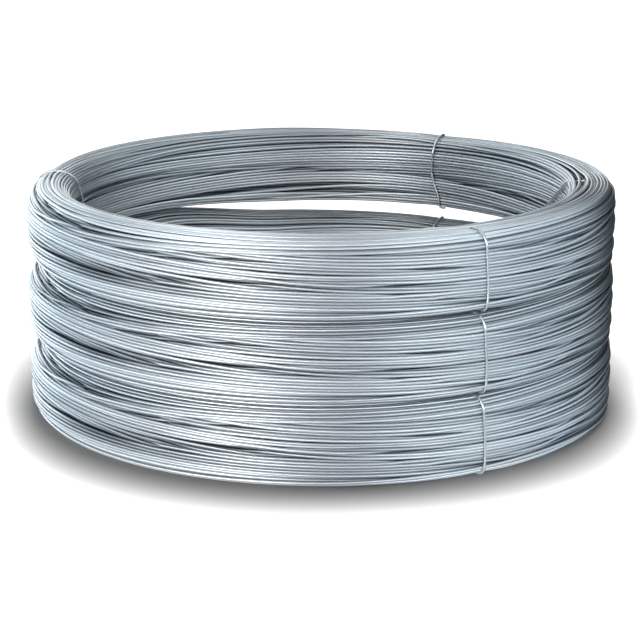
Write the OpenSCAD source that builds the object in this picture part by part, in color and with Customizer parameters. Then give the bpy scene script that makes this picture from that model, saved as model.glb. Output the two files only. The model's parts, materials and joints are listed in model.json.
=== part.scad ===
// Coil of galvanized steel wire: three equal rings of turns, stacked on one axis.
// Each ring is bound by four tie wires, which run round its section and end in a twist.
// Origin: on the axis of the coil, at the level that it stands on. +Z is up the axis.
// -Y is the front. Angles run counterclockwise round +Z, from +X. Millimetres.

/* [Wire] */
// Diameter of the coiled wire
wire_d = 3.4; // [2.6:0.1:4.2]

/* [Ring] */
// Diameter of the eye, inside the innermost turns
eye_d = 560; // [440:5:700]
// Thickness of a ring, from the eye to its outside
ring_w = 54; // [50:1:80]
// Height of one ring
ring_h = 85.8; // [60:0.2:120]
// Radius of the rounded corners at the top of a ring
top_corner_r = 22; // [14:1:24]
// Radius of the corners at the bottom, which the weight of the turns has flattened
bottom_corner_r = 14; // [11:1:20]

/* [Ties] */
// Diameter of the tie wire
tie_d = 2.5; // [1.8:0.1:3.2]
// Depth to which a tie is drawn into the turns
tie_sink = 1.7; // [1.4:0.1:1.7]
// Length of a tie's twisted ends
twist_len = 16; // [10:1:30]
// Angle of the tie at the front right
front_angle = -60; // [-70:1:-30]
// Angle of the tie at the right
right_angle = 8; // [-20:1:25]
// Angle of the tie at the back
back_angle = 60; // [35:1:110]
// Angle of the tie at the left
left_angle = 166; // [130:1:190]

/* [Hidden] */
$fn = 96;
TIERS = ["bottom", "middle", "top"];
SIDES = ["front", "right", "back", "left"];
side_angles = [front_angle, right_angle, back_angle, left_angle];
coil_nodes = [for (tier = TIERS) str("coil_", tier)];
tie_nodes = [for (tier = TIERS) [for (side = SIDES) str("tie_", tier, "_", side)]];

wire_color = "#BCC6CB";
tie_color = "#CDD5D9";

// Between a tie and the turns that it binds, and between the ties of two rings
tie_gap = 0.2;
// Depth of the grooves between neighbouring turns
groove_depth = 1.2;
// How far a cutting outline reaches past what it cuts
cut_over = 1;

eye_r = eye_d / 2;
outer_r = eye_r + ring_w;
wire_r = wire_d / 2;
tie_r = tie_d / 2;

// The lowest ties lie on the floor, and each ring lies on the ties of the one below.
tie_proud = tie_d - tie_sink;
ring_pitch = ring_h + 2 * tie_proud + tie_gap;

// ---------- section of a ring ----------

// Rectangle of a ring's size with round corners, all set in by the same amount
module ring_outline(inset) {
    top_r = top_corner_r - inset;
    bottom_r = bottom_corner_r - inset;
    low = inset;
    high = ring_h - inset;
    tall = ring_h - top_corner_r - bottom_corner_r;
    translate([eye_r + inset, bottom_corner_r]) square([ring_w - 2 * inset, tall]);
    translate([eye_r + top_corner_r, bottom_corner_r])
        square([ring_w - 2 * top_corner_r, high - bottom_corner_r]);
    translate([eye_r + bottom_corner_r, low])
        square([ring_w - 2 * bottom_corner_r, ring_h - top_corner_r - low]);
    for (x = [eye_r + top_corner_r, outer_r - top_corner_r])
        translate([x, ring_h - top_corner_r]) circle(top_r);
    for (x = [eye_r + bottom_corner_r, outer_r - bottom_corner_r])
        translate([x, bottom_corner_r]) circle(bottom_r);
}

// Centres of the outer turns follow the section's outline, one wire radius inside it:
// over the top face, round the upper corner, down the outside, round the lower corner
// and in along the bottom face.
top_turn_r = top_corner_r - wire_r;
bottom_turn_r = bottom_corner_r - wire_r;
top_run = ring_w - 2 * top_corner_r;
top_bend = top_turn_r * PI / 2;
side_run = ring_h - top_corner_r - bottom_corner_r;
bottom_bend = bottom_turn_r * PI / 2;
bottom_run = ring_w - 2 * bottom_corner_r;
turns_run = top_run + top_bend + side_run + bottom_bend + bottom_run;
turn_count = floor(turns_run / wire_d);
turn_step = turns_run / turn_count;

// Direction in which the outline faces at distance s along that line
function turn_facing(s) =
    let (
        s1 = s - top_run,
        s3 = s1 - top_bend - side_run,
        upper = 90 - s1 / top_turn_r * 180 / PI,
        lower = -s3 / bottom_turn_r * 180 / PI
    )
    s1 < 0 ? 90 : s1 < top_bend ? upper : s3 < 0 ? 0 : s3 < bottom_bend ? lower : -90;

// Point at distance s along it
function turn_centre(s) =
    let (
        s1 = s - top_run,
        s2 = s1 - top_bend,
        s3 = s2 - side_run,
        s4 = s3 - bottom_bend,
        facing = turn_facing(s),
        way_out = [cos(facing), sin(facing)],
        top_corner = [outer_r - top_corner_r, ring_h - top_corner_r],
        bottom_corner = [outer_r - bottom_corner_r, bottom_corner_r]
    )
    s1 < 0 ? [eye_r + top_corner_r + s, ring_h - wire_r]
    : s2 < 0 ? top_corner + top_turn_r * way_out
    : s3 < 0 ? [outer_r - wire_r, ring_h - top_corner_r - s2]
    : s4 < 0 ? bottom_corner + bottom_turn_r * way_out
    : [outer_r - bottom_corner_r - s4, wire_r];

// Section of a turn, with one of its six flats facing out along +X
module turn_section() {
    reach = wire_r / cos(30);
    polygon([for (k = [0 : 5]) reach * [cos(60 * k + 30), sin(60 * k + 30)]]);
}

// Section of a ring: a smooth wall at the eye, which ends under the first and the last of
// a row of six-sided ridges, the outer turns
module ring_section() {
    top_reach = cut_over + top_corner_r - wire_r / 2;
    bottom_reach = cut_over + bottom_corner_r - wire_r / 2;
    middle = ring_h / 2;
    ring_outline(groove_depth);
    intersection() {
        ring_outline(0);
        union() {
            translate([eye_r - cut_over, -cut_over])
                square([bottom_reach, middle + 2 * cut_over]);
            translate([eye_r - cut_over, middle]) square([top_reach, middle + cut_over]);
        }
    }
    for (i = [0 : turn_count])
        translate(turn_centre(i * turn_step))
            rotate(turn_facing(i * turn_step)) turn_section();
}

// What a tie takes out of a ring, all the way round its section
module tie_slot() {
    width = tie_d + 2 * tie_gap;
    rotate([90, 0, 0])
        translate([0, 0, -width / 2])
            linear_extrude(width)
                difference() {
                    translate([eye_r - cut_over, -cut_over])
                        square([ring_w + 2 * cut_over, ring_h + 2 * cut_over]);
                    ring_outline(tie_sink + tie_gap);
                }
}

module ring() {
    color(wire_color)
        difference() {
            rotate_extrude() ring_section();
            for (angle = side_angles)
                rotate(angle) tie_slot();
        }
}

// ---------- tie wire ----------

// The centreline of a tie is the section's outline, set in by this much.
tie_inset = tie_sink - tie_r;

// Quarter bend of the tie wire in the section, round [x, z], from angle a to a + 90
module tie_bend(x, z, bend_r, a) {
    translate([x, 0, z])
        rotate([90, 0, 0])
            rotate(a)
                rotate_extrude(angle = 90) translate([bend_r, 0]) circle(tie_r, $fn = 32);
}

// Straight run of the tie wire from p to q, which lie on one level or one upright
module tie_run(p, q) {
    level = p[1] == q[1];
    translate([p[0], 0, p[1]])
        rotate([0, level ? 90 : 0, 0])
            cylinder(h = level ? q[0] - p[0] : q[1] - p[1], r = tie_r, $fn = 32);
}

// The two ends are twisted together, and lie along the lower corner of the eye, just off
// the level of the tie below the ring.
module tie_twist() {
    reach = bottom_corner_r + tie_gap + tie_d;
    drop = bottom_corner_r + tie_proud - tie_gap - tie_d;
    slant = asin(drop / reach);
    centre = [eye_r + bottom_corner_r - reach * cos(slant), bottom_corner_r - drop];
    turn = twist_len / centre[0] * 180 / PI;
    rotate(-turn)
        rotate_extrude(angle = turn) translate(centre) circle(tie_d, $fn = 32);
}

module tie() {
    top_r = top_corner_r - tie_inset;
    bottom_r = bottom_corner_r - tie_inset;
    low = bottom_corner_r;
    high = ring_h - top_corner_r;
    inner_x = eye_r + tie_inset;
    outer_x = outer_r - tie_inset;
    low_z = tie_inset;
    high_z = ring_h - tie_inset;
    color(tie_color) {
        tie_run([eye_r + bottom_corner_r, low_z], [outer_r - bottom_corner_r, low_z]);
        tie_run([eye_r + top_corner_r, high_z], [outer_r - top_corner_r, high_z]);
        tie_run([inner_x, low], [inner_x, high]);
        tie_run([outer_x, low], [outer_x, high]);
        tie_bend(outer_r - top_corner_r, high, top_r, 0);
        tie_bend(eye_r + top_corner_r, high, top_r, 90);
        tie_bend(eye_r + bottom_corner_r, low, bottom_r, 180);
        tie_bend(outer_r - bottom_corner_r, low, bottom_r, 270);
        tie_twist();
    }
}

// ---------- stack ----------

module at_tier(i) {
    translate([0, 0, tie_proud + i * ring_pitch]) children();
}

for (i = [0 : len(TIERS) - 1])
    at_tier(i) ring();

for (i = [0 : len(TIERS) - 1], j = [0 : len(SIDES) - 1])
    at_tier(i) rotate(side_angles[j]) tie();
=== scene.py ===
"""Coil of galvanized steel wire: three bound rings of turns, stacked on one axis."""

import json
import math

import bpy
import numpy as np
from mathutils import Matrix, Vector


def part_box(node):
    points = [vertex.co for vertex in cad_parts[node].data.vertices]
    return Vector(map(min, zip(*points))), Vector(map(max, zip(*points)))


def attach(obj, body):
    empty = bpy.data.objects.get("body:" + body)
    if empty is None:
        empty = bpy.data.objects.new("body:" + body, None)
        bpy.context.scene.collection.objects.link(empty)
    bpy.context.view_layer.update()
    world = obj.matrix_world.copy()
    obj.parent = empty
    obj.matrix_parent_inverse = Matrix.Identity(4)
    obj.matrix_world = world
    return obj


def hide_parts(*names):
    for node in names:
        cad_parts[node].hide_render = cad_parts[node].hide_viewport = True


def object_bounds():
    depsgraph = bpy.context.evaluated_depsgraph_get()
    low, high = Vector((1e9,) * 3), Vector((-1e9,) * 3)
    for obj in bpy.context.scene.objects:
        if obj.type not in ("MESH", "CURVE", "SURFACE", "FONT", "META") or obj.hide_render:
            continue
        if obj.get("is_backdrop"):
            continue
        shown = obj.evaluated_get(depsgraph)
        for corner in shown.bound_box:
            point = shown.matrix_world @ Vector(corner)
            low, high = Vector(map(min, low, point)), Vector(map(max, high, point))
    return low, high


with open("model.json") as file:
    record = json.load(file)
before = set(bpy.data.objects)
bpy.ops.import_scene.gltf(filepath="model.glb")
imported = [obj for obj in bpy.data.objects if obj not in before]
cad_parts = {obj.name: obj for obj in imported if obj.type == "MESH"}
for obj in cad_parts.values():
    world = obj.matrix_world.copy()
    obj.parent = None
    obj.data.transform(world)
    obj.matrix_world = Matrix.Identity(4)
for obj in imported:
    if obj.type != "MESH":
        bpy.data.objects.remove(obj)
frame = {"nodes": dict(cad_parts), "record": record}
CAD_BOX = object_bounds()

bl_info = {
    "name": "Galvanized wire coil",
    "version": (1, 1, 0),
    "blender": (4, 5, 0),
    "location": "3D View > Sidebar > Wire coil",
    "description": "Winds three bound rings of galvanized wire and sets them up in a small studio",
    "category": "Add Mesh",
}

MM = 0.001
TAU = 2 * math.pi
TIERS = ("bottom", "middle", "top")
SIDES = ("front", "right", "back", "left")


# ---------------------------------------------------------------- sizes from the frame

def mount_radius(name):
    """Radius of a round mount in the record, in metres."""
    mount = next(m for m in frame["record"]["mounts"] if m["name"] == name)
    return mount["dims"]["r_mm"] * MM


def tie_angle(node):
    """Angle round the axis at which a tie stands: that of the outermost points of its mesh."""
    mesh = frame["nodes"][node].data
    points = np.empty(len(mesh.vertices) * 3)
    mesh.vertices.foreach_get("co", points)
    points = points.reshape(-1, 3)
    reach = np.hypot(points[:, 0], points[:, 1])
    outer = points[reach > reach.max() - 0.5 * MM].mean(axis=0)
    return math.atan2(outer[1], outer[0])


EYE_RADIUS = mount_radius("eye")
LOW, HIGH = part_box("coil_bottom")
RING_HEIGHT = HIGH.z - LOW.z
OUTER_RADIUS = HIGH.x
RING_BASES = {tier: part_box(f"coil_{tier}")[0].z for tier in TIERS}
TIE_ANGLES = {side: tie_angle(f"tie_bottom_{side}") for side in SIDES}


# ---------------------------------------------------------------- section of a ring

STATIONS = 160           # points on one turn
START_ANGLE = math.radians(112)    # of every turn, at the back
ANGLES = START_ANGLE + TAU * np.arange(STATIONS) / STATIONS
LEAST_CORNER = 1 * MM    # radius that a corner keeps where the outline is set in

# How the bundle's section changes round the ring. Angle in degrees, then in mm: radii of the
# corners at the top outside, top inside, bottom outside and bottom inside, how far the top has
# sagged, and how far the outside is drawn in.
BUNDLE = [
    (-165, 28, 19, 23, 14, 2.0, 2.5),
    (-150, 27, 19, 19, 14, 1.5, 1.0),
    (-120, 27, 18, 13, 14, 0.5, 0.3),
    (-90, 26, 17, 10, 14, 0.3, 0),
    (-60, 17, 16, 9, 14, 0.0, 0),
    (-30, 16, 16, 9, 14, 0.0, 0),
    (0, 15, 16, 10, 14, 0.5, 0.5),
    (20, 14, 16, 10, 14, 0.8, 0.3),
    (36, 15, 17, 10, 9, 1.5, 0),
    (50, 17, 18, 12, 7, 3.0, 0),
    (72, 18, 18, 13, 6, 3.0, 0),
    (90, 18, 18, 13, 6, 1.2, 0),
    (109, 18, 18, 14, 6, 0.2, 0),
    (131, 19, 18, 16, 7, 0.0, 0),
    (145, 22, 19, 18, 10, 0.3, 0.3),
    (160, 25, 20, 21, 14, 2.0, 0.8),
    (180, 27, 20, 24, 14, 2.5, 2.0),
]


def bundle_section(angles):
    """Corner radii, the level of the top, and the outer radius, in metres.

    Values run straight between the rows of BUNDLE, and are then averaged over 15 degrees.
    """
    rows = np.array(BUNDLE, dtype=float)
    spread = np.radians(np.linspace(-7.5, 7.5, 7))
    at = np.degrees(angles[..., None] + spread)
    values = [np.interp(at, rows[:, 0], column, period=360).mean(axis=-1) * MM for column in rows.T[1:]]
    top_out, top_in, bottom_out, bottom_in, sag, draw = values
    return top_out, top_in, bottom_out, bottom_in, RING_HEIGHT - sag, OUTER_RADIUS - draw


def outline(share, inset, section):
    """Points and outward normals on the outline of a ring's section, set in by `inset`.

    The outline is a rectangle with four round corners. `share` runs from 0 to 1 round it: from
    half way up the eye's wall, up, over the top, down the outside, and back in along the bottom.
    A straight stretch is base + distance * heading, and a corner is its centre + radius * normal.
    """
    top_out, top_in, bottom_out, bottom_in, high, rim = np.broadcast_arrays(share, *section)[1:]
    top_out, top_in, bottom_out, bottom_in = (
        np.maximum(corner, inset + LEAST_CORNER) for corner in (top_out, top_in, bottom_out, bottom_in))
    middle = high / 2
    width = rim - EYE_RADIUS
    quarter = math.pi / 2
    lengths = np.stack([
        high - top_in - middle, (top_in - inset) * quarter, width - top_in - top_out,
        (top_out - inset) * quarter, high - top_out - bottom_out, (bottom_out - inset) * quarter,
        width - bottom_out - bottom_in, (bottom_in - inset) * quarter, middle - bottom_in,
    ])
    knots = np.concatenate([np.zeros_like(lengths[:1]), np.cumsum(lengths, axis=0)])
    distance = (share % 1.0) * knots[-1]
    part = np.clip((distance[None] >= knots[1:]).sum(axis=0), 0, 8)

    def pick(values):
        return np.take_along_axis(np.stack(np.broadcast_arrays(*values)), part[None], axis=0)[0]

    in_top, out_top = EYE_RADIUS + top_in, rim - top_out
    out_low, in_low = rim - bottom_out, EYE_RADIUS + bottom_in
    base_r = pick([in_top, in_top, in_top, out_top, out_top, out_low, out_low, in_low, in_low])
    base_z = pick([middle, high - top_in, high - top_in, high - top_out, high - top_out,
                   bottom_out, bottom_out, bottom_in, bottom_in])
    corner = pick([top_in, top_in, top_in, top_out, top_out, bottom_out, bottom_out, bottom_in, bottom_in])
    radius = corner - inset
    along = distance - pick(list(knots[:-1]))
    heading = np.array([[0, 1], [0, 0], [1, 0], [0, 0], [0, -1], [0, 0], [-1, 0], [0, 0], [0, 1]])[part]
    start = np.radians([180, 180, 90, 90, 0, 0, -90, -90, -180])[part]
    turning = np.array([0, 1, 0, 1, 0, 1, 0, 1, 0])[part]
    angle = start - turning * along / radius
    normal = np.stack([np.cos(angle), np.sin(angle)], axis=-1)
    points = np.stack([base_r, base_z], axis=-1) + heading * along[..., None] + radius[..., None] * normal
    return points, normal, knots[-1]


def share_at(wall, height, section):
    """Share of the outline at a height on the outer wall or on the eye's wall.

    The eye's wall is reached (height - middle) after the start, and the outer wall after half the
    eye's wall, two corners, the top, and the way down from the upper corner.
    """
    top_out, top_in, _, _, high, rim = section
    quarter = math.pi / 2
    middle = high / 2
    width = rim - EYE_RADIUS
    length = outline(np.zeros_like(high), 0.0, section)[2]
    if wall == "eye":
        distance = height - middle
    else:
        distance = (high - top_in - middle + (top_in + top_out) * quarter + width - top_in - top_out
                    + high - top_out - height)
    return distance / length


def depth_in_section(points, section):
    """How far points lie inside the section's outline, and the outward normal at each.

    The distance is that to the rectangle joining the corners' centres, taken from the radius of
    the nearest corner.
    """
    top_out, top_in, bottom_out, bottom_in, high, rim = section
    centre = np.stack([(EYE_RADIUS + rim) / 2, high / 2], axis=-1)
    half = np.stack([(rim - EYE_RADIUS) / 2, high / 2], axis=-1)
    offset = points - centre
    outside, upper = offset[..., 0] > 0, offset[..., 1] > 0
    corner = np.where(upper, np.where(outside, top_out, top_in), np.where(outside, bottom_out, bottom_in))
    inner = half - corner[..., None]
    away = offset - np.clip(offset, -inner, inner)
    distance = np.linalg.norm(away, axis=-1)
    return corner - distance, away / np.maximum(distance, 1e-9)[..., None]


# At the back of the stack the lower two rings have settled, and the foot of the top ring hangs into
# the hollow this leaves under it. All in degrees.
BACK_MIDDLE = 65
BACK_ENDS, BACK_FADES = (65, 70), (45, 36)    # to its right and its left
SETTLED = 0.11       # share that a lower ring loses there of its height above FIRM
FIRM = 2 * MM
HANG = 3.5 * MM      # how far the foot of the top ring hangs


def in_stack(height, angle, tier):
    """Heights in the stack of points at some heights in a ring.

    A lower ring's height above FIRM shrinks by SETTLED, and what rests on it moves down as much.
    The top ring stretches down by HANG at its foot and by nothing at its top. Both fade in over
    BACK_FADES from the back's ends.
    """
    off = np.degrees(angle_from(angle, math.radians(BACK_MIDDLE)))
    back = ease((BACK_ENDS[1] - off) / BACK_FADES[1]) * ease((BACK_ENDS[0] + off) / BACK_FADES[0])
    if tier == "top":
        drop = HANG * (1 - height / RING_HEIGHT)
    else:
        drop = SETTLED * np.maximum(height - FIRM, 0)
    if tier == "middle":
        drop = drop + SETTLED * (RING_HEIGHT - FIRM)
    return height - back * drop + RING_BASES[tier]


# Places where shade is painted into the zinc's colour: the middle and the width of each round the ring, in
# degrees, and how much darker at most.
PAINTED_SHADE_TOP, PAINTED_SHADE_EYE, PAINTED_SHADE_OUTSIDE = (95, 60, 0.5), (57, 13, 0.35), (-11, 17, 0.85)


def painted_shade(rows, angles):
    """How much painted shade darkens the zinc at turns given as rows of (radius, height): across the top at
    the back, low on the eye's wall at the right, and on the outside at the right.

    Each place is a bell round the ring times a smooth step across the section.
    """
    def bell(middle, width, most):
        return most * np.exp(-(angle_from(angles, math.radians(middle)) / math.radians(width)) ** 2)

    reach, height = rows[..., 0], rows[..., 1]
    top = bell(*PAINTED_SHADE_TOP) * ease((height - RING_HEIGHT + 20 * MM) / (14 * MM))
    eye = bell(*PAINTED_SHADE_EYE) * ease((80 * MM - height) / (20 * MM))
    eye = eye * ease((EYE_RADIUS + 12 * MM - reach) / (8 * MM))
    outside = bell(*PAINTED_SHADE_OUTSIDE) * ease((reach - OUTER_RADIUS + 16 * MM) / (10 * MM))
    return 1 - (1 - top) * (1 - eye) * (1 - outside)


# ---------------------------------------------------------------- winding

def smooth_noise(rng, count, width):
    """Noise of unit spread that changes over about `width` samples: white noise through a bell."""
    reach = int(3 * width)
    bell = np.exp(-0.5 * (np.arange(-reach, reach + 1) / width) ** 2)
    raw = rng.standard_normal(count + 2 * reach)
    return np.convolve(raw, bell, "valid") / math.sqrt((bell ** 2).sum())


def ease(x):
    """0 below 0, 1 above 1, and a smooth cubic step between."""
    x = np.clip(x, 0, 1)
    return x * x * (3 - 2 * x)


def angle_from(angles, centre):
    """Signed angle from a centre, from -pi to pi."""
    return (angles - centre + math.pi) % TAU - math.pi


WINDING_SEED, TONE_SEED = 11, 5
SPACING = 3.52 * MM                      # between neighbouring turns of the outer layer
BOTTOM_RUN, TOP_RUN = 12 * MM, 14 * MM   # of the turns across a ring's bottom and its top
WALL_LOW, WALL_HIGH = -14, 98            # ends of the walls' lines, in mm, past the corners
LAYER_INSETS = (2.6 * MM, 9.2 * MM)      # of the centres in the outer and the second layer
SECOND_TURNS = 36
SLIP_DEPTH = 5.5 * MM                    # of turns that have slipped under their neighbours
STRAYS = 26                              # turns that leave their place for part of their way
WANDER, DEPTH_WANDER = 0.4 * MM, 0.3 * MM  # of the wire itself, along the outline and across it
TIE_PRESS = 1.6 * MM                     # how far the ties press the turns in
NEIGHBOURS = 26                          # turns near enough to be pushed apart

# Lines the turns follow on the two walls: the height in mm at each angle in degrees, running on
# over the corners as lengths along the outline. The ribbon of turns above a line keeps beside
# that line ("low") or the next one up ("high"), and turns it has no room for slip under the other.
LINE_ANGLES = {
    "outer": (-165, -150, -135, -120, -105, -90, -75, -60, -45, -30, -15, 20, 160),
    "eye": (165, 150, 140, 130, 120, 110, 100, 90, 80, 70, 60, 50, 40, 30, 15, -15, -165),
}
LINES = {
    "outer": [
        ("high", *[WALL_LOW] * 13),
        ("high", 12, 9, 5, 4, 5, 5, 7, 9, 10, 10, 6, 6, 6),
        ("low", 30, 31, 31, 30, 27, 25, 21, 17, 13, 13, 12, 20, 22),
        ("high", 37, 37, 36.5, 37, 37, 37, 38, 37, 33, 28, 24, 33, 36),
        ("low", 67, 65, 60, 54.5, 49, 45, 42, 41, 40.5, 41, 43, 48, 56),
        ("high", 74, 71, 69, 68, 70, 70, 67, 63, 60, 58, 58, 62, 68),
        ("high", 81, 77, 74, 73, 75, 75, 75, 76, 78, 80, 80, 76, 76),
        ("high", 88, 85, 83, 82, 84, 84, 84, 85, 87, 88, 88, 84, 84),
        ("", *[WALL_HIGH] * 13),
    ],
    "eye": [
        ("high", *[WALL_LOW] * 17),
        ("high", 7, 7, 7.5, 8, 8, 8, 8, 8, 8, 8, 8, 8, 7.5, 7, 7, 8, 8),
        ("low", 16, 16, 16, 17, 20, 25, 28.5, 30.5, 31.5, 31, 30, 29, 26, 22, 20, 22, 20),
        ("high", 44, 45, 44, 42, 39.5, 38.7, 38.5, 38.5, 38.3, 37, 36, 35, 34, 32, 32, 37, 42),
        ("high", 47, 48, 46.8, 45, 43.5, 44, 45, 46.5, 48, 50, 51.5, 52.5, 53, 53, 52, 48, 47),
        ("low", 53, 53, 52.2, 51.5, 52, 54, 56, 57.5, 59, 60, 61, 62, 63, 63, 62, 57, 54),
        ("low", 64, 63, 65, 69, 72, 73, 74, 74, 74, 74, 74, 75.5, 77, 78, 77, 72, 66),
        ("", *[WALL_HIGH] * 17),
    ],
}

# Places where neighbouring turns part: wall, angle and half length in degrees, height and opening
# in mm.
PARTINGS = [
    ("outer", -128, 16, 58.5, 3.6),
    ("outer", -122, 13, 66.5, 7.5),
    ("outer", -147, 10, 78.5, 6.5),
    ("outer", -157.5, 6, 82, 8.0),
    ("outer", -135, 13, 31, 7.5),
    ("outer", -116, 12, 31.5, 4.0),
    ("outer", -97, 12, 26.5, 2.2),
    ("outer", -78, 8, 40.0, 2.4),
    ("outer", -57, 7, 44, 1.8),
    ("outer", -35, 10, 45, 1.6),
    ("outer", -45, 14, 32, 1.4),
    ("outer", -38, 13, 11.5, 2.6),
    ("outer", -65, 7, 18, 1.2),
    ("outer", -24, 8, 78, 2.0),
    ("outer", -40, 9, 68, 1.2),
    ("outer", 75, 22, 30, 4.0),
    ("outer", 100, 24, 62, 3.5),
    ("eye", 104, 22, 39.5, 2.5),
    ("eye", 128, 15, 70, 2.5),
    ("eye", 116, 7, 15, 3.0),
    ("eye", 66, 14, 74.5, 2.5),
    ("eye", 46, 10, 76.5, 4.0),
    ("eye", 55, 8, 69, 3.0),
    ("eye", 60, 9, 37, 3.0),
    ("eye", 48, 10, 32.5, 3.5),
    ("eye", 46, 9, 18.5, 2.5),
]


def line_heights(wall, angles):
    """Heights of the LINES of a wall at some angles: straight between rows, averaged over 12 degrees."""
    rows = np.array([row[1:] for row in LINES[wall]], dtype=float)
    spread = np.radians(np.linspace(-6, 6, 7))
    at = np.degrees(angles[..., None] + spread)
    return np.stack([np.interp(at, LINE_ANGLES[wall], row, period=360).mean(axis=-1) for row in rows]) * MM


def line_places(wall):
    """Places of the lines in a layout where each ribbon has the greatest width it ever reaches."""
    heights = line_heights(wall, np.linspace(-math.pi, math.pi, 121))
    return np.concatenate([[0.0], np.cumsum(np.diff(heights, axis=0).max(axis=1))])


PLACES = {wall: line_places(wall) for wall in LINES}
ZONES = np.cumsum([BOTTOM_RUN, PLACES["eye"][-1], TOP_RUN, PLACES["outer"][-1]])
FIRST_TURNS = int(ZONES[-1] / SPACING)


def turn_share(turn, angle, section):
    """Share of the outline at which a whole turn lies at an angle, and how far it has slipped under.

    A turn's run is (turn + 0.5) * SPACING. It passes in order through the bottom, the eye's wall,
    the top and the outer wall. On a wall it keeps its distance from its ribbon's line.
    """
    run = (turn + 0.5) * SPACING
    low_eye, high_eye, low_out, high_out = (
        share_at(wall, end * MM, section) for wall in ("eye", "outer") for end in (WALL_LOW, WALL_HIGH))
    low_out = low_out - 1
    share = low_out + (low_eye - low_out) * run / ZONES[0]
    top = high_eye + (high_out - high_eye) * (run - ZONES[1]) / TOP_RUN
    share = np.where(run > ZONES[1], top, share)
    slipped = np.full_like(share, -10 * MM)
    for wall, along, inside in (
        ("eye", run - ZONES[0], (run > ZONES[0]) & (run <= ZONES[1])),
        ("outer", ZONES[3] - run, run > ZONES[2]),
    ):
        heights = line_heights(wall, angle)
        places = PLACES[wall]
        for k, line in enumerate(LINES[wall][:-1]):
            here = inside & (along >= places[k]) & (along <= places[k + 1])
            if line[0] == "low":
                height = heights[k] + along - places[k]
                beyond = height - heights[k + 1]
            else:
                height = heights[k + 1] - places[k + 1] + along
                beyond = heights[k] - height
            share = np.where(here, share_at(wall, height, section), share)
            slipped = np.where(here, beyond, slipped)
    return share, slipped


def part_turns(turn, angle):
    """Shift along the outline that opens the gaps of PARTINGS, and how deep turns dip beside them.

    A gap's line runs half way between two turns. Turns on either side move away from it by half
    the opening, times a lens shape along it, (1 - off^2)^1.5, fading with distance across it.
    """
    shift, dip = np.zeros_like(angle), np.zeros_like(angle)
    for wall, centre, half, height, opening in PARTINGS:
        heights = line_heights(wall, np.radians(np.array([centre])))[:, 0]
        k = int((heights[1:] <= height * MM).sum())
        if LINES[wall][k][0] == "low":
            along = PLACES[wall][k] + height * MM - heights[k]
        else:
            along = PLACES[wall][k + 1] + height * MM - heights[k + 1]
        run = ZONES[0] + along if wall == "eye" else ZONES[3] - along
        between = round(run / SPACING)
        off = angle_from(angle, math.radians(centre)) / math.radians(half)
        lens = np.clip(1 - off ** 2, 0, 1) ** 1.5
        across = turn + 0.5 - between
        shift += np.sign(across) * opening * MM / 2 * lens * np.exp(-np.abs(across) / 3)
        dip = np.maximum(dip, 1.1 * opening * MM * lens * np.exp(-np.abs(across) / 1.9))
    return shift, dip


def first_layer(place, angle, section):
    """Share of the outline at each point of the outer layer, and how deep its slipped turns lie.

    `place` counts turns. The wire steps from one turn's place to the next at the back on the outer
    wall, at the front on the eye's wall, and all the way round across the top.
    """
    turn, part = np.floor(place), place % 1.0
    run = (turn + 0.5) * SPACING
    starts = np.where(run > ZONES[2], 0.92, np.where(run < ZONES[1], 0.40, 0.0))
    spans = np.where((run > ZONES[1]) & (run <= ZONES[2]), 1.0, 0.08)
    step = ease((part - starts) / spans)
    here, slip = turn_share(turn, angle, section)
    after, slip_after = turn_share(np.minimum(turn + 1, FIRST_TURNS - 1), angle, section)
    share = here + (after - here) * step
    slip = slip + (slip_after - slip) * step
    calm = 1 - 0.55 * np.exp(-(angle_from(angle, math.radians(-55)) / math.radians(32)) ** 2)
    return share, SLIP_DEPTH * calm * ease((slip + 8 * MM) / (13 * MM))


def stray_turns(rng, place, turns):
    """Shift along the outline, and depth, of turns that leave their place for part of their way.

    Each passes over or under its next one to three neighbours, with a smooth step at both ends.
    """
    shift, depth = np.zeros_like(place), np.zeros_like(place)
    for _ in range(STRAYS):
        first = rng.integers(0, turns) + rng.uniform(0, 1)
        span = rng.uniform(0.08, 0.42)
        ramp = rng.uniform(0.04, 0.11)
        move = rng.choice([-1, 1]) * rng.uniform(1.2, 3.4) * SPACING
        over = rng.random() < 0.65
        bump = ease((place - first) / ramp) * ease((first + span - place) / ramp)
        shift += move * bump
        depth += (-1.2 if over else 1.6) * MM * np.minimum(1, 3 * bump)
    return shift, depth


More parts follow.
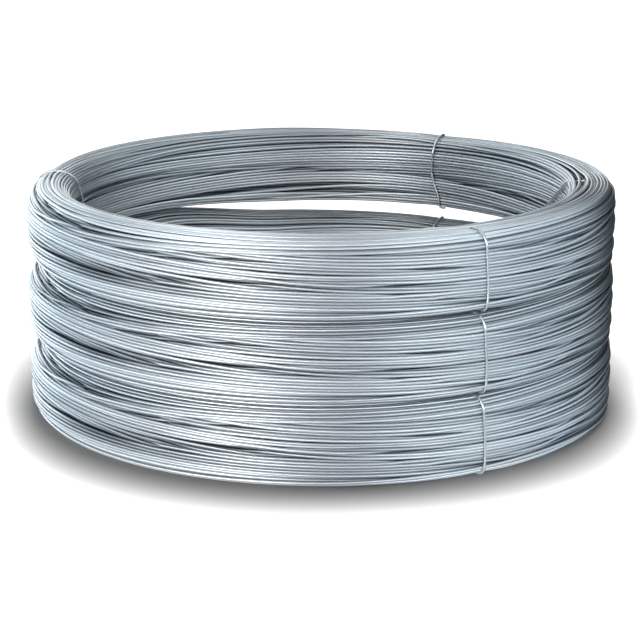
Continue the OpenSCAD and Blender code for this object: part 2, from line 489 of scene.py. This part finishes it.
def wound_path(seed, wire_radius):
    """Centres of the turns in the two outer layers of a ring, as rows of (radius, height).

    Shared waves and the wire's own wander move both layers along the outline. The outer layer also
    follows its ribbons, with slipped turns, partings and stray turns. The second winds evenly. Turns
    that overlap then push each other apart, while the wire is kept smooth and inside the outline.
    """
    rng = np.random.default_rng(seed)
    section = bundle_section(ANGLES)
    waves = [
        (rng.uniform(0.4, 0.8) * MM, rng.integers(2, 7), rng.integers(1, 5) * rng.choice([-1, 1]),
         rng.uniform(0, TAU))
        for _ in range(7)
    ]
    rows = []
    for layer, turns in enumerate((FIRST_TURNS, SECOND_TURNS)):
        count = turns * STATIONS
        angle = np.tile(ANGLES, turns)
        whole = [np.tile(values, turns) for values in section]
        place = np.arange(count) / STATIONS
        share, side = place / turns, np.zeros(count)
        depth = DEPTH_WANDER * smooth_noise(rng, count, 0.1 * STATIONS)
        if layer == 0:
            share, slipped = first_layer(place, angle, whole)
            parted, dip = part_turns(np.floor(place), angle)
            strayed, stray_depth = stray_turns(rng, place, turns)
            side += parted + strayed
            depth += slipped + dip + stray_depth
        side += sum(amp * np.sin(TAU * j * share + m * angle + phase) for amp, j, m, phase in waves)
        side += WANDER * smooth_noise(rng, count, 0.12 * STATIONS)
        side += WANDER * smooth_noise(rng, count, 0.4 * STATIONS)
        _, _, length = outline(share, LAYER_INSETS[layer], whole)
        points, normal, _ = outline(share + side / length, LAYER_INSETS[layer], whole)
        rows.append(points - normal * depth[:, None])
    path = np.concatenate(rows).reshape(-1, STATIONS, 2)
    squeeze = sum(np.exp(-(angle_from(ANGLES, a) / 0.09) ** 2) for a in TIE_ANGLES.values())
    limit = wire_radius + 0.1 * MM + TIE_PRESS * squeeze
    return settle(path, limit, wire_radius, section)


def settle(path, limit, wire_radius, section, rounds=130, sorted_every=40):
    """Pushes overlapping turns apart, smooths the wire and keeps it inside the outline.

    In each round every point moves away from each turn that it overlaps, by 0.42 of the overlap, and
    a fiftieth of its way back home. It then moves halfway, twice, to the mean of its neighbours along
    the wire, and in along the outline's normal where it is nearer to the outline than `limit`.
    """
    home = path.copy()
    count = len(path)
    starts = (0, FIRST_TURNS, count)
    for turn in range(rounds):
        if turn % sorted_every == 0:
            coarse = path[:, ::4]
            gaps = np.linalg.norm(coarse[:, None] - coarse[None], axis=-1).min(axis=-1)
            gaps[np.arange(count), np.arange(count)] = np.inf
            near = np.argsort(gaps, axis=1)[:, :NEIGHBOURS]
        apart = path[:, None] - path[near]
        distance = np.linalg.norm(apart, axis=-1)
        overlap = np.clip(2 * wire_radius - distance, 0, None)
        push = apart / np.maximum(distance, 1e-9)[..., None] * overlap[..., None]
        path = path + 0.42 * push.sum(axis=1)
        path += 0.02 * (home - path)
        if turn < rounds - 6:
            for first, last in zip(starts[:-1], starts[1:]):
                wire = path[first:last].reshape(-1, 2)
                for _ in range(2):
                    wire[1:-1] += 0.25 * (wire[:-2] + wire[2:] - 2 * wire[1:-1])
                path[first:last] = wire.reshape(-1, STATIONS, 2)
        depth, normal = depth_in_section(path, section)
        path -= np.clip(limit[None, :] - depth, 0, None)[..., None] * normal
    return path


# ---------------------------------------------------------------- meshes

def grid_faces(rows, columns, closed_rows, closed_columns):
    """Quads between neighbours of a grid. A closed direction joins its last line to its first."""
    i = np.arange(rows if closed_rows else rows - 1)
    j = np.arange(columns if closed_columns else columns - 1)
    i_next, j_next = (i[:, None] + 1) % rows, (j[None, :] + 1) % columns
    quads = np.stack([
        i[:, None] * columns + j[None, :], i[:, None] * columns + j_next,
        i_next * columns + j_next, i_next * columns + j[None, :],
    ], axis=-1).reshape(-1, 4)
    u = np.broadcast_to(np.stack([i, i, i + 1, i + 1], axis=-1)[:, None, :], (len(i), len(j), 4))
    v = np.broadcast_to(np.stack([j, j + 1, j + 1, j], axis=-1)[None, :, :], (len(i), len(j), 4))
    return quads, np.stack([u, v], axis=-1).reshape(-1, 2)


def grid_mesh(name, grids, closed_rows=False, closed_columns=False, uv_step=(1, 1), tones_and_shade=None):
    """A mesh over one or more grids of points of shape (rows, columns, 3).

    Open tubes, whose columns close and rows don't, are capped at both ends. The UV map runs along
    the rows in x and round the columns in y. Each grid may have a tone for each of its rows.
    """
    points, loops, sizes, uvs, tone_and_shade_values = [], [], [], [], []
    start = 0
    for number, grid in enumerate(grids):
        rows, columns = grid.shape[:2]
        quads, uv = grid_faces(rows, columns, closed_rows, closed_columns)
        loops.append(quads.ravel() + start)
        sizes.append(np.full(len(quads), 4))
        uvs.append(uv * uv_step)
        if closed_columns and not closed_rows:
            ends = np.concatenate([np.arange(columns)[::-1], (rows - 1) * columns + np.arange(columns)])
            loops.append(ends + start)
            sizes.append(np.array([columns, columns]))
            uvs.append(np.zeros((2 * columns, 2)))
        points.append(grid.reshape(-1, 3))
        if tones_and_shade is not None:
            tone_and_shade_values.append(np.repeat(tones_and_shade[number], columns))
        start += rows * columns
    loops, sizes = np.concatenate(loops), np.concatenate(sizes)
    mesh = bpy.data.meshes.new(name)
    mesh.vertices.add(start)
    mesh.vertices.foreach_set("co", np.concatenate(points).reshape(-1))
    mesh.loops.add(len(loops))
    mesh.loops.foreach_set("vertex_index", loops)
    mesh.polygons.add(len(sizes))
    mesh.polygons.foreach_set("loop_start", np.cumsum(sizes) - sizes)
    mesh.polygons.foreach_set("loop_total", sizes)
    mesh.polygons.foreach_set("use_smooth", sizes == 4)
    mesh.uv_layers.new(name="wire").data.foreach_set("uv", np.concatenate(uvs).reshape(-1))
    if tones_and_shade is not None:
        values = np.concatenate(tone_and_shade_values).astype(np.float32)
        mesh.attributes.new("tone_and_shade", "FLOAT", "POINT").data.foreach_set("value", values)
    mesh.update()
    mesh.validate()
    return mesh


def place(name, mesh, material, slot, nodes):
    """Puts a mesh in the scene as a piece that rides on the root and stands for CAD nodes."""
    piece = bpy.data.objects.new(name, mesh)
    bpy.context.scene.collection.objects.link(piece)
    mesh.materials.append(material)
    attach(piece, "root")
    if nodes:
        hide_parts(*nodes)
    return piece


def ring_tube(path, angles, wire_radius, sides):
    """Surface of a wire that runs round the axis: centre + radius * (cos t * outward + sin t * up).

    `path` holds (radius, height) at each turn and angle.
    """
    spot = path.reshape(-1, 2)
    angle = np.tile(angles, len(path))
    t = TAU * (np.arange(sides) + 0.5) / sides
    reach = spot[:, :1] + wire_radius * np.cos(t)
    level = spot[:, 1:] + wire_radius * np.sin(t)
    return np.stack([reach * np.cos(angle)[:, None], reach * np.sin(angle)[:, None], level], axis=-1)


def wire_tube(centres, wire_radius, sides, closed=False):
    """Surface of a wire along any line of centres: circles square to the line.

    Each circle's first direction is the one before it, with its part along the line taken out.
    """
    if closed:
        ahead = np.roll(centres, -1, axis=0) - np.roll(centres, 1, axis=0)
    else:
        ahead = np.gradient(centres, axis=0)
    ahead /= np.linalg.norm(ahead, axis=1)[:, None]
    across = np.empty_like(ahead)
    guess = np.cross(ahead[0], [0.3, 0.5, 0.8])
    for k in range(len(ahead)):
        guess = guess - ahead[k] * guess.dot(ahead[k])
        guess /= np.linalg.norm(guess)
        across[k] = guess
    third = np.cross(ahead, across)
    t = TAU * np.arange(sides) / sides
    return (centres[:, None] + wire_radius * (np.cos(t)[None, :, None] * across[:, None]
            + np.sin(t)[None, :, None] * third[:, None]))


# ---------------------------------------------------------------- materials

def linear(hex_color):
    """sRGB hex to linear colour."""
    values = [int(hex_color[k:k + 2], 16) / 255 for k in (1, 3, 5)]
    return tuple(v / 12.92 if v <= 0.04045 else ((v + 0.055) / 1.055) ** 2.4 for v in values)


def add(tree, kind, settings=None, **links):
    """Adds a node, sets its properties and inputs, and links sockets given as keywords."""
    node = tree.nodes.new(kind)
    for key, value in (settings or {}).items():
        if isinstance(key, str) and hasattr(node, key):
            setattr(node, key, value)
        else:
            node.inputs[key].default_value = value
    for key, socket in links.items():
        name = key.replace("_", " ")
        target = node.inputs[int(key[1:])] if key[0] == "i" and key[1:].isdigit() else node.inputs[name]
        tree.links.new(socket, target)
    return node


def new_material(name):
    material = bpy.data.materials.new(name)
    material.use_nodes = True
    tree = material.node_tree
    tree.nodes.clear()
    return material, tree


# Duller patches in the zinc for each metre of wire: each is about 33 mm long.
PATCHES_PER_METRE = 30.0


def zinc(name, bright, dull_and_shade, roughness, film=0.04):
    """Zinc, hot-dipped on drawn wire: bright and slightly blue, with soft highlights that run along
    the turns, and patches where it is duller and rougher.

    The colour runs from the dark end to `bright` with the piece's tone plus a noise along the wire. The tone
    carries painted shade as well as the zinc's own changes, so the dark end is duller zinc and painted shade
    at once. A thin matt film of zinc carbonate, grown in air, covers a share `film` of it.
    """
    material, tree = new_material(name)
    uv = add(tree, "ShaderNodeUVMap", {"uv_map": "wire"})
    tone_and_shade = add(tree, "ShaderNodeAttribute", {"attribute_name": "tone_and_shade"})
    patches = add(tree, "ShaderNodeTexNoise", {"Scale": PATCHES_PER_METRE, "Detail": 3.0},
                  Vector=uv.outputs["UV"])
    spread = add(tree, "ShaderNodeMath", {"operation": "MULTIPLY_ADD", 1: 0.5, 2: -0.2},
                 i0=patches.outputs["Fac"])
    total = add(tree, "ShaderNodeMath", {"operation": "ADD", "use_clamp": True},
                i0=spread.outputs[0], i1=tone_and_shade.outputs["Fac"])
    mix = add(tree, "ShaderNodeMix", {"data_type": "RGBA", 6: (*linear(dull_and_shade), 1), 7: (*bright, 1)},
              i0=total.outputs[0])
    rough = add(tree, "ShaderNodeMapRange", {3: roughness - 0.05, 4: roughness + 0.07},
                Value=patches.outputs["Fac"])
    metal = add(tree, "ShaderNodeBsdfPrincipled", {"Metallic": 1.0},
                Base_Color=mix.outputs[2], Roughness=rough.outputs[0])
    matt = add(tree, "ShaderNodeBsdfDiffuse", Color=mix.outputs[2])
    shader = add(tree, "ShaderNodeMixShader", {0: film}, i1=metal.outputs[0], i2=matt.outputs[0])
    add(tree, "ShaderNodeOutputMaterial", Surface=shader.outputs[0])
    return material


# ---------------------------------------------------------------- properties and operators

class WireCoilSettings(bpy.types.PropertyGroup):
    """Sizes and colours of the coil."""
    wire_diameter: bpy.props.FloatProperty(
        name="Wire diameter", description="Diameter of the coiled wire", default=3.4 * MM, unit="LENGTH")
    tie_diameter: bpy.props.FloatProperty(
        name="Tie diameter", description="Diameter of the tie wire", default=2.5 * MM, unit="LENGTH")
    zinc_color: bpy.props.FloatVectorProperty(
        name="Zinc", description="Colour of bright zinc", subtype="COLOR", default=linear("#E2E7EA"))


class WIRECOIL_OT_rings(bpy.types.Operator):
    """Winds the three rings"""
    bl_idname = "wirecoil.rings"
    bl_label = "Wind the rings"

    def execute(self, context):
        settings = context.scene.wire_coil
        radius = settings.wire_diameter / 2
        material = zinc("zinc_hot_dip", settings.zinc_color, "#565E64", 0.35)
        # Dark zinc for the core below the layers: painted shade deep in the bundle.
        deep_shade_zinc = zinc("zinc_inner_painted_shade", linear("#6A7177"), "#565E64", 0.4)
        path = wound_path(WINDING_SEED, radius)
        half = FIRST_TURNS // 2
        for number, tier in enumerate(TIERS):
            rng = np.random.default_rng(TONE_SEED + number)
            for layer, rows, step, sides, nodes in (
                ("eye", path[:half + 1], 1, 8, [f"coil_{tier}"]),
                ("outer", path[half:FIRST_TURNS], 1, 8, []),
                ("inner", path[FIRST_TURNS:], 2, 6, []),
            ):
                mesh = self.layer(f"turns_{tier}_{layer}", rows, step, sides, tier, radius, rng)
                place(mesh.name, mesh, material, "zinc_wire", nodes)
            mesh = self.core(f"turns_{tier}_hidden", tier, radius)
            place(mesh.name, mesh, deep_shade_zinc, "zinc_wire", [])
        return {"FINISHED"}

    def layer(self, name, rows, step, sides, tier, radius, rng):
        """One layer of turns, drawn with every `step`-th station. Its tone wanders along the wire. Shade is
        painted into the tone too: it falls to nothing where turns lie deep in the bundle, and drops at three
        places round the ring."""
        angles = ANGLES[::step]
        rows = rows[:, ::step]
        stacked = np.stack([rows[..., 0], in_stack(rows[..., 1], angles, tier)], axis=-1)
        points = ring_tube(stacked, angles, radius, sides)
        depth, _ = depth_in_section(rows, bundle_section(angles))
        tone_and_shade = 0.85 + 0.16 * smooth_noise(rng, len(points), 30)
        # Painted shade: darker with depth in the bundle, down to nothing about 7 mm in.
        tone_and_shade = tone_and_shade * (1 - ease((depth.ravel() - 2.6 * MM) / (4.5 * MM)))
        # Painted shade at three places round the ring: the top at the back, low on the eye's wall, and the
        # outside at the right.
        tone_and_shade = tone_and_shade * (1 - painted_shade(rows, angles).ravel())
        length = TAU * OUTER_RADIUS / STATIONS * step
        return grid_mesh(name, [points], closed_columns=True, uv_step=(length, 1 / sides), tones_and_shade=[tone_and_shade])

    def core(self, name, tier, radius):
        """The turns below the second layer, as one ridged ring: outline points set in by `inset`, less
        a rectified sine that rises and falls once for each turn."""
        ridges, per_ridge, stations = 50, 3, 48
        inset, relief = 10.5 * MM, 0.9 * radius
        share = np.arange(ridges * per_ridge) / (ridges * per_ridge)
        angle = TAU * np.arange(stations) / stations
        section = [values[:, None] for values in bundle_section(angle)]
        points, normal, _ = outline(np.broadcast_to(share, (stations, len(share))), inset, section)
        points = points + normal * (np.abs(np.sin(math.pi * ridges * share)) * relief)[None, :, None]
        grid = np.stack([
            points[..., 0] * np.cos(angle)[:, None], points[..., 0] * np.sin(angle)[:, None],
            in_stack(points[..., 1], angle[:, None], tier),
        ], axis=-1)
        # Painted shade: the core has a tone of 0.1 in the dark inner zinc.
        tones_and_shade = [np.full(stations, 0.1)]
        return grid_mesh(name, [grid[:, ::-1]], closed_rows=True, closed_columns=True,
                         uv_step=(0.02, 0.02), tones_and_shade=tones_and_shade)


# Sideways bends of each tie in mm, towards larger angles, at eight places round the section: eye
# wall at its middle, top inside corner, top outside corner, upper and lower outside wall, bottom
# outside corner, bottom inside corner, and low on the eye's wall.
TIE_BENDS = {
    "front": (-8, -4, 2, 4, 6, 4, 0, -8),
    "right": (46, -52, -34, -10, 0, 6, 66, 70),
    "back": (4, -1, 10, 8, 2, 4, -14, -4),
    "left": (12, 44, 36, 8, -6, 0, 6, 8),
}
TIE_BEND_SHARES = (0.0, 0.17, 0.34, 0.44, 0.58, 0.66, 0.85, 0.93)

# Shares of the outline between which a tie runs under the outermost turns, and how deep.
TIE_TUCKS = {"right": (0.128, 0.52), "front": (0.12, 0.26)}
TUCK_DEPTH = 6 * MM

TIE_STATIONS = 140
TIE_SINK = 1.7 * MM      # how far a tie is drawn into the bundle
# The right tie's full tone is painted light, lifting it against the shade it sits in. The others keep 0.6.
TIE_TONES_AND_LIGHT = {"front": 0.6, "right": 1.0, "back": 0.6, "left": 0.6}


class WIRECOIL_OT_ties(bpy.types.Operator):
    """Makes the tie wires"""
    bl_idname = "wirecoil.ties"
    bl_label = "Make the ties"

    def execute(self, context):
        settings = context.scene.wire_coil
        radius = settings.tie_diameter / 2
        material = zinc("zinc_tie_wire", settings.zinc_color, "#A3AAAF", 0.32)
        for side in SIDES:
            wires = [self.loop(side, radius), *self.twist(side, radius)]
            for tier in TIERS:
                lines = []
                for wire in wires:
                    level = in_stack(wire[:, 2], np.arctan2(wire[:, 1], wire[:, 0]), tier)
                    lines.append(np.column_stack([wire[:, :2], level]))
                tube = wire_tube(lines[0], radius, 10, closed=True)
                grids = [np.concatenate([tube, tube[:1]])]
                grids += [wire_tube(line, radius, 8) for line in lines[1:]]
                tones_and_shade = [np.full(len(grid), TIE_TONES_AND_LIGHT[side]) for grid in grids]
                mesh = grid_mesh(f"tie_{tier}_{side}", grids, closed_columns=True, uv_step=(0.01, 0.1),
                                 tones_and_shade=tones_and_shade)
                place(f"tie_wire_{tier}_{side}", mesh, material, "tie_wire", [f"tie_{tier}_{side}"])
        return {"FINISHED"}

    def loop(self, side, radius):
        """Centres of a tie round the bundle: the outline, set in until the tie is drawn in by TIE_SINK,
        turned about the axis by the sideways bend at each place over its distance from the axis. Some
        dip by TUCK_DEPTH, to run under the turns across the top."""
        share = np.arange(TIE_STATIONS) / TIE_STATIONS
        bends = np.array([*TIE_BENDS[side], TIE_BENDS[side][0]], dtype=float)
        at = (share[:, None] + np.linspace(-0.05, 0.05, 9)) % 1.0
        bend = np.interp(at, [*TIE_BEND_SHARES, 1.0], bends).mean(axis=1) * MM
        angle = TIE_ANGLES[side] + bend / OUTER_RADIUS
        inset = TIE_SINK - radius
        if side in TIE_TUCKS:
            first, last = TIE_TUCKS[side]
            inset = inset + TUCK_DEPTH * ease((share - first) / 0.04) * ease((last - share) / 0.04)
        points, _, _ = outline(share, inset, bundle_section(angle))
        return np.stack([points[:, 0] * np.cos(angle), points[:, 0] * np.sin(angle), points[:, 1]], axis=-1)

    def twist(self, side, radius):
        """Centres of the tie's two ends, twisted round each other beside the bundle's lower corner in
        the eye: two helices half a turn apart round an arc about the axis, clear of the floor."""
        length, turns, slant = 6 * MM, 1.2, math.radians(46)
        start = TIE_ANGLES[side] + TIE_BENDS[side][6] * MM / OUTER_RADIUS
        corner = bundle_section(np.array([start]))[3][0]
        reach = corner + 2 * radius + 0.2 * MM
        centre_r = EYE_RADIUS + corner - reach * math.cos(slant)
        centre_z = max(corner - reach * math.sin(slant) + 0.1 * MM, 2 * radius)
        s = np.linspace(0, 1, 24)
        angle = start - s * length / centre_r
        ends = []
        for half in (0, math.pi):
            turn = half + s * turns * TAU
            reach_out = centre_r + radius * 0.98 * np.cos(turn)
            level = centre_z + radius * 0.98 * np.sin(turn)
            ends.append(np.stack([reach_out * np.cos(angle), reach_out * np.sin(angle), level], axis=-1))
        return ends


# ---------------------------------------------------------------- studio

# The camera: focal length and the width of its film in mm, distance in metres from the middle of the
# stack's top, how high it stands above that and how far down it looks, both in degrees.
LENS, FILM_WIDTH = 128.9, 36
CAMERA_DISTANCE, CAMERA_RISE, CAMERA_TILT = 2.6, 11.2, 14.82

# Radius in metres at which the coil's soft shadow on the floor ends, by angle in degrees. The shadow is
# partly painted: the floor's glow rises across it.
FLOOR_EDGE = [
    (-180, 0.372), (-165, 0.368), (-150, 0.384), (-135, 0.402), (-120, 0.414), (-105, 0.418), (-90, 0.418),
    (-75, 0.415), (-60, 0.416), (-45, 0.412), (-30, 0.394), (-15, 0.376), (0, 0.372), (10, 0.39), (20, 0.42),
    (30, 0.45), (45, 0.46), (135, 0.46), (150, 0.44), (160, 0.41), (170, 0.385),
]
FLOOR_CONTACT = 0.325    # radius in metres up to which the floor has its full shade
FLOOR_REACH = 12.0

# Brightness of the studio's low walls, their tint, brightness higher up and overhead, by the angle
# from straight behind the camera, positive to the right seen from above.
WALLS = [
    (-180, 1.5, "#FFFFFF", 1.15, 0.35), (-160, 2.0, "#F6FBFF", 0.95, 0.50),
    (-142, 2.8, "#F2FAFF", 0.45, 0.45), (-128, 4.0, "#E8F7FF", 0.75, 0.55),
    (-112, 2.4, "#DEF1FF", 0.75, 0.45), (-98, 2.2, "#DEF1FF", 0.40, 0.40),
    (-82, 3.5, "#E6F4FF", 0.26, 0.35), (-68, 3.3, "#ECF6FF", 0.15, 0.30),
    (-52, 4.8, "#F6FBFF", 0.20, 0.30), (-38, 10.0, "#FEFEFF", 0.60, 0.30),
    (-22, 8.0, "#FFFFFF", 0.75, 0.30), (-8, 2.8, "#FAF8FF", 0.70, 0.22),
    (8, 1.5, "#F2F2FF", 0.70, 0.22), (22, 3.2, "#EEF6FF", 0.80, 0.30),
    (38, 4.2, "#EAF6FF", 0.75, 0.32), (52, 3.1, "#E4F3FF", 0.65, 0.40),
    (68, 2.7, "#E0F2FF", 0.55, 0.38), (82, 1.9, "#DEF1FF", 0.50, 0.38),
    (98, 1.8, "#DEF2FF", 0.50, 0.40), (112, 2.0, "#E0F3FF", 0.45, 0.40),
    (128, 0.0, "#FFFFFF", 0.05, 0.60), (142, 0.0, "#FFFFFF", 0.05, 0.65),
    (158, 0.0, "#FFFFFF", 0.16, 0.60), (170, 0.3, "#FFFFFF", 0.45, 0.40),
]
WALL_BEARINGS = np.radians(np.arange(0, 361, 3.0))
WALL_REACH, CEILING_HEIGHT = 4.5, 1.26           # metres
SKY_BLUE = np.array([0.90, 0.96, 1.0])           # linear tint of the light from above


def wall_light(bearings):
    """Linear colour of the low walls, and brightness higher up and overhead, at some bearings:
    straight between the rows of WALLS."""
    rows = np.array([(angle, *(level * value for value in linear(tint)), high, overhead)
                     for angle, level, tint, high, overhead in WALLS])
    at = np.degrees(bearings)
    return np.stack([np.interp(at, rows[:, 0], column, period=360) for column in rows.T[1:]], axis=-1)


class WIRECOIL_OT_stage(bpy.types.Operator):
    """Sets up the floor, the walls, the lights and the camera"""
    bl_idname = "wirecoil.stage"
    bl_label = "Set up the studio"

    def execute(self, context):
        self.camera(context)
        self.world(context)
        self.floor(context)
        self.walls(context)
        self.lamps(context)
        context.scene.view_settings.view_transform = "Standard"
        return {"FINISHED"}

    def camera(self, context):
        """Looks at the stack from the front, a little from above."""
        data = bpy.data.cameras.new("camera")
        data.sensor_width = FILM_WIDTH
        data.lens = LENS
        data.clip_end = 50
        camera = bpy.data.objects.new("camera", data)
        context.scene.collection.objects.link(camera)
        rise = math.radians(CAMERA_RISE)
        top = RING_BASES["top"] + RING_HEIGHT
        camera.location = (0, -CAMERA_DISTANCE * math.cos(rise), top + CAMERA_DISTANCE * math.sin(rise))
        camera.rotation_euler = (math.radians(90 - CAMERA_TILT), 0, 0)
        context.scene.camera = camera

    def world(self, context):
        """White where it is seen or reflected, and a plain weak light elsewhere."""
        world = bpy.data.worlds.new("studio")
        context.scene.world = world
        world.use_nodes = True
        tree = world.node_tree
        tree.nodes.clear()
        path = add(tree, "ShaderNodeLightPath")
        seen = add(tree, "ShaderNodeMath", {"operation": "MAXIMUM"}, i0=path.outputs["Is Camera Ray"],
                   i1=path.outputs["Is Glossy Ray"])
        seen = add(tree, "ShaderNodeMath", {"operation": "MAXIMUM"}, i0=seen.outputs[0],
                   i1=path.outputs["Is Transmission Ray"])
        white = add(tree, "ShaderNodeBackground", {"Color": (1, 1, 1, 1), "Strength": 1.0})
        light = add(tree, "ShaderNodeBackground", {"Color": (1, 1, 1, 1), "Strength": 0.45})
        mix = add(tree, "ShaderNodeMixShader", i0=seen.outputs[0], i1=light.outputs[0], i2=white.outputs[0])
        add(tree, "ShaderNodeOutputWorld", Surface=mix.outputs[0])

    def floor(self, context):
        """The floor brightens to white from FLOOR_CONTACT to the edge of the coil's soft shadow, as the
        share of that way to the power 1.6: a painted shadow round the coil, laid over the real one. The edge
        is FLOOR_EDGE averaged over 12 degrees."""
        reach = np.concatenate([[0.0], np.linspace(0.32, 0.47, 61), [FLOOR_REACH]])
        angle = np.radians(np.arange(0, 361, 3.0))
        grid = np.stack([reach * np.cos(angle)[:, None], reach * np.sin(angle)[:, None],
                         np.zeros((len(angle), len(reach)))], axis=-1)
        mesh = grid_mesh("floor", [grid[:, ::-1]])
        around, out = np.array(FLOOR_EDGE).T
        at = np.degrees(angle[:, None]) + np.linspace(-6, 6, 5)
        edge = np.interp(at, around, out, period=360).mean(axis=1)
        share = np.clip((reach - FLOOR_CONTACT) / (edge[:, None] - FLOOR_CONTACT), 0, 1) ** 1.6
        mesh.attributes.new("glow", "FLOAT", "POINT").data.foreach_set(
            "value", share[:, ::-1].astype(np.float32).reshape(-1))
        mesh.materials.append(self.floor_white())
        floor = bpy.data.objects.new("floor", mesh)
        context.scene.collection.objects.link(floor)
        floor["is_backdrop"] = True

    def floor_white(self):
        """Matt white studio paper: plain to the light, and seen or reflected as a darker shade plus its
        glow. Near the coil the glow is held back, so the shadow there is partly real and partly painted.
        """
        material, tree = new_material("floor_white")
        path = add(tree, "ShaderNodeLightPath")
        seen = add(tree, "ShaderNodeMath", {"operation": "MAXIMUM"}, i0=path.outputs["Is Camera Ray"],
                   i1=path.outputs["Is Glossy Ray"])
        plain = add(tree, "ShaderNodeBsdfDiffuse", {"Color": (0.82, 0.81, 0.80, 1)})
        # Painted shadow: seen or reflected, the paper is darker than it is to the light, and only its glow
        # lifts it back to white away from the coil.
        shaded = add(tree, "ShaderNodeBsdfDiffuse", {"Color": (0.335, 0.325, 0.32, 1)})
        glow = add(tree, "ShaderNodeAttribute", {"attribute_name": "glow"})
        glow = add(tree, "ShaderNodeEmission", {"Color": (1, 1, 1, 1)}, Strength=glow.outputs["Fac"])
        both = add(tree, "ShaderNodeAddShader", i0=shaded.outputs[0], i1=glow.outputs[0])
        mix = add(tree, "ShaderNodeMixShader", i0=seen.outputs[0], i1=plain.outputs[0], i2=both.outputs[0])
        add(tree, "ShaderNodeOutputMaterial", Surface=mix.outputs[0])
        return material

    def walls(self, context):
        """Panels that the metal reflects: a dome, a mat on the floor and a ceiling. Only glossy rays see
        them, so they don't show and cast no shadow."""
        for name, (grid, glow) in (
            ("studio_dome", self.dome()), ("floor_mat", self.mat()), ("studio_ceiling", self.ceiling()),
        ):
            mesh = grid_mesh(name, [grid])
            values = np.concatenate([glow.reshape(-1, 3), np.ones((grid.size // 3, 1))], axis=1)
            mesh.attributes.new("glow", "FLOAT_COLOR", "POINT").data.foreach_set(
                "color", values.astype(np.float32).reshape(-1))
            material, tree = new_material(f"{name}_panels")
            shade = add(tree, "ShaderNodeAttribute", {"attribute_name": "glow"})
            panel = add(tree, "ShaderNodeEmission", {"Strength": 1.0}, Color=shade.outputs["Color"])
            add(tree, "ShaderNodeOutputMaterial", Surface=panel.outputs[0])
            mesh.materials.append(material)
            piece = bpy.data.objects.new(name, mesh)
            context.scene.collection.objects.link(piece)
            for ray in ("camera", "diffuse", "transmission", "volume_scatter", "shadow"):
                setattr(piece, f"visible_{ray}", False)
            piece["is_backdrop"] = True

    def dome(self):
        """Half a sphere of WALL_REACH: (sin b cos h, -cos b cos h, sin h) at bearing b and height h. Its
        light is that of WALLS, which changes to the high level over 18 degrees from 8 degrees up, and
        to the overhead level over 18 from 26."""
        height = np.radians(np.concatenate([np.arange(-1, 30, 3.0), np.arange(30, 91, 6.0)]))
        side = wall_light(WALL_BEARINGS)
        light = side[:, None, :3] + 0 * height[:, None]
        for first, level in ((8, side[:, None, 3:4]), (26, side[:, None, 4:5])):
            over = ease((np.degrees(height) - first) / 18)[None, :, None]
            light = light * (1 - over) + level * SKY_BLUE * over
        across = np.cos(height)
        grid = WALL_REACH * np.stack([
            np.sin(WALL_BEARINGS)[:, None] * across, -np.cos(WALL_BEARINGS)[:, None] * across,
            np.broadcast_to(np.sin(height), light.shape[:2]),
        ], axis=-1)
        return grid, light

    def mat(self):
        """A flat ring just above the floor, at a fifth of the light of the wall behind it."""
        ring = np.array([0.3, 0.36, 0.5, 1.0, 2.0, WALL_REACH])
        grid = np.stack([
            ring * np.sin(WALL_BEARINGS)[:, None], -ring * np.cos(WALL_BEARINGS)[:, None],
            np.full((len(WALL_BEARINGS), len(ring)), 0.3 * MM),
        ], axis=-1)
        light = np.minimum(0.03 + 0.2 * wall_light(WALL_BEARINGS)[:, None, :3], 0.7)
        return grid, np.broadcast_to(light, grid.shape)

    def ceiling(self):
        """A flat panel over the coil: brighter to the left and right, half as bright towards the camera,
        and dim behind a line that runs back on both sides."""
        x, y = np.meshgrid(np.linspace(-0.8, 0.9, 18), np.linspace(-0.9, 0.9, 19), indexing="ij")
        grid = np.stack([x, y, np.full(x.shape, CEILING_HEIGHT)], axis=-1)
        light = 0.9 + 1.7 * ease((-x - 0.15) / 0.25) + 1.1 * ease((x - 0.2) / 0.25)
        light = light * (0.5 + 0.5 * ease((y + 0.35) / 0.3)) * ease((0.25 + 0.9 * np.abs(x) - y) / 0.15)
        return grid, np.maximum(light, 0.18)[..., None] * SKY_BLUE

    def lamps(self, context):
        """Two soft lamps, one above and one low at the left, aimed at the middle of the stack."""
        for name, stand, size, power in (
            ("top", (0.1, 0.5, 2.4), (1.3, 1.3), 45),
            ("left", (-2.2, -2.2, 0.33), (2.0, 0.5), 50),
        ):
            data = bpy.data.lights.new(name, "AREA")
            data.shape = "RECTANGLE"
            data.size, data.size_y = size
            data.energy = power
            lamp = bpy.data.objects.new(name, data)
            context.scene.collection.objects.link(lamp)
            lamp.visible_glossy = False
            lamp.location = stand
            aim = Vector((0, 0, 0.12)) - Vector(stand)
            lamp.rotation_euler = aim.to_track_quat("-Z", "Y").to_euler()


class WIRECOIL_PT_panel(bpy.types.Panel):
    """Lists the coil's settings and steps"""
    bl_idname = "WIRECOIL_PT_panel"
    bl_label = "Wire coil"
    bl_space_type = "VIEW_3D"
    bl_region_type = "UI"
    bl_category = "Wire coil"

    def draw(self, context):
        settings = context.scene.wire_coil
        for name in ("wire_diameter", "tie_diameter", "zinc_color"):
            self.layout.prop(settings, name)
        for step in STEPS:
            self.layout.operator(step.bl_idname)


STEPS = (WIRECOIL_OT_stage, WIRECOIL_OT_rings, WIRECOIL_OT_ties)
CLASSES = (WireCoilSettings, *STEPS, WIRECOIL_PT_panel)


def register():
    for cls in CLASSES:
        bpy.utils.register_class(cls)
    bpy.types.Scene.wire_coil = bpy.props.PointerProperty(type=WireCoilSettings)


def unregister():
    del bpy.types.Scene.wire_coil
    for cls in reversed(CLASSES):
        bpy.utils.unregister_class(cls)


def main():
    register()
    bpy.ops.wirecoil.stage()
    bpy.ops.wirecoil.rings()
    bpy.ops.wirecoil.ties()
    boxes = {"cad": CAD_BOX, "visual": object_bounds()}
    boxes = {name: [list(corner) for corner in box] for name, box in boxes.items()}


if __name__ == "__main__":
    main()
